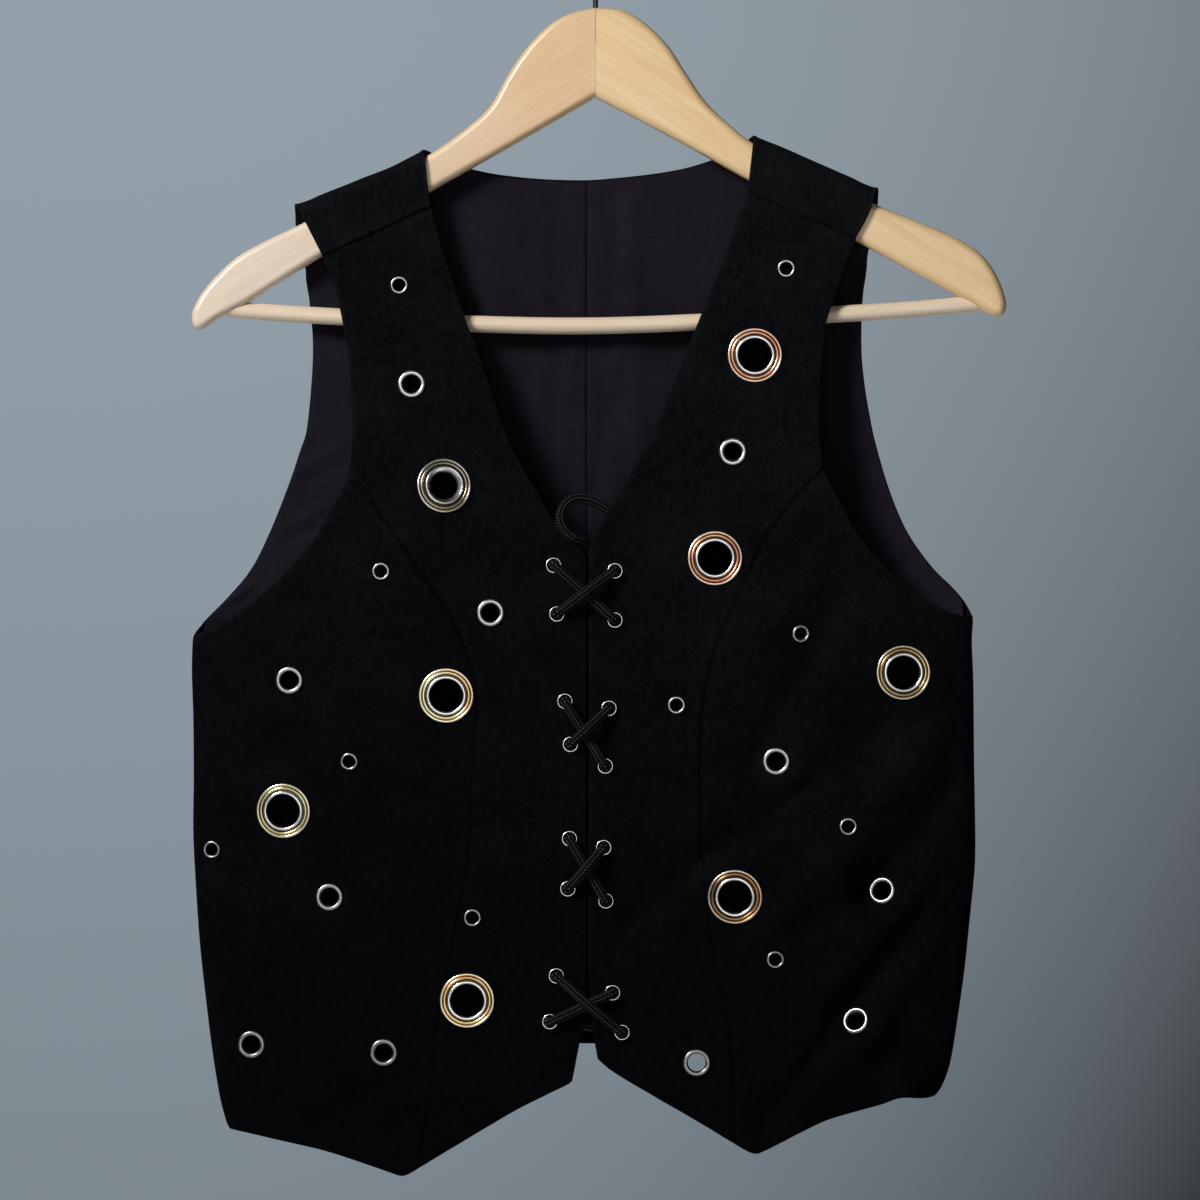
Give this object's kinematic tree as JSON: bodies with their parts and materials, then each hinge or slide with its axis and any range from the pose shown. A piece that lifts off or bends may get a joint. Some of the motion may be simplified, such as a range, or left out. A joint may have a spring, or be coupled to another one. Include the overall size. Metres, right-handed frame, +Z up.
{
  "type": "denim vest on a wooden hanger",
  "caption": "Sleeveless black denim vest, laced at the front and scattered with metal eyelets, hanging on a wooden hanger with a wire hook.",
  "frame": {"origin": "inside top of the hook, where it rests on a rail", "axes": "+Z up along the hook, -Y out of the front of the vest, +X to the viewer's right when facing the front"},
  "size_m": [0.4415, 0.0562, 0.7036],
  "materials": {
    "denim": "matt black twill",
    "lining": "soft plain weave, aubergine black",
    "lace": "braided",
    "eyelet_silver": "polished",
    "eyelet_gold": "polished",
    "eyelet_copper": "polished",
    "eyelet_bronze": "polished",
    "wood_left": "clear lacquer",
    "wood_right": "clear lacquer",
    "hook_wire": "gloss black"
  },
  "bodies": {
    "root": {"front_centre_left": "denim", "front_side_left": "denim", "front_centre_right": "denim", "front_side_right": "denim", "back_panel": "denim", "lining_left": "lining", "lining_right": "lining", "eyelet_01": "eyelet_gold", "eyelet_02": "eyelet_gold", "eyelet_03": "eyelet_gold", "eyelet_04": "eyelet_gold", "eyelet_05": "eyelet_copper", "eyelet_06": "eyelet_copper", "eyelet_07": "eyelet_bronze", "eyelet_08": "eyelet_bronze", "eyelet_09": "eyelet_silver", "eyelet_10": "eyelet_silver", "eyelet_11": "eyelet_silver", "eyelet_12": "eyelet_silver", "eyelet_13": "eyelet_silver", "eyelet_14": "eyelet_silver", "eyelet_15": "eyelet_silver", "eyelet_16": "eyelet_silver", "eyelet_17": "eyelet_silver", "eyelet_18": "eyelet_silver", "eyelet_19": "eyelet_silver", "eyelet_20": "eyelet_silver", "eyelet_21": "eyelet_silver", "eyelet_22": "eyelet_silver", "eyelet_23": "eyelet_silver", "eyelet_24": "eyelet_silver", "eyelet_25": "eyelet_silver", "eyelet_26": "eyelet_silver", "eyelet_27": "eyelet_silver", "eyelet_28": "eyelet_silver", "eyelet_29": "eyelet_silver", "lace_eyelet_left_a": "eyelet_silver", "lace_eyelet_left_b": "eyelet_silver", "lace_eyelet_left_c": "eyelet_silver", "lace_eyelet_left_d": "eyelet_silver", "lace_eyelet_left_e": "eyelet_silver", "lace_eyelet_left_f": "eyelet_silver", "lace_eyelet_left_g": "eyelet_silver", "lace_eyelet_left_h": "eyelet_silver", "lace_eyelet_right_a": "eyelet_silver", "lace_eyelet_right_b": "eyelet_silver", "lace_eyelet_right_c": "eyelet_silver", "lace_eyelet_right_d": "eyelet_silver", "lace_eyelet_right_e": "eyelet_silver", "lace_eyelet_right_f": "eyelet_silver", "lace_eyelet_right_g": "eyelet_silver", "lace_eyelet_right_h": "eyelet_silver", "lace": "lace", "hanger_arm_left": "wood_left", "hanger_arm_right": "wood_right", "hanger_bar": "wood_right", "hook": "hook_wire"}
  },
  "joints": []
}
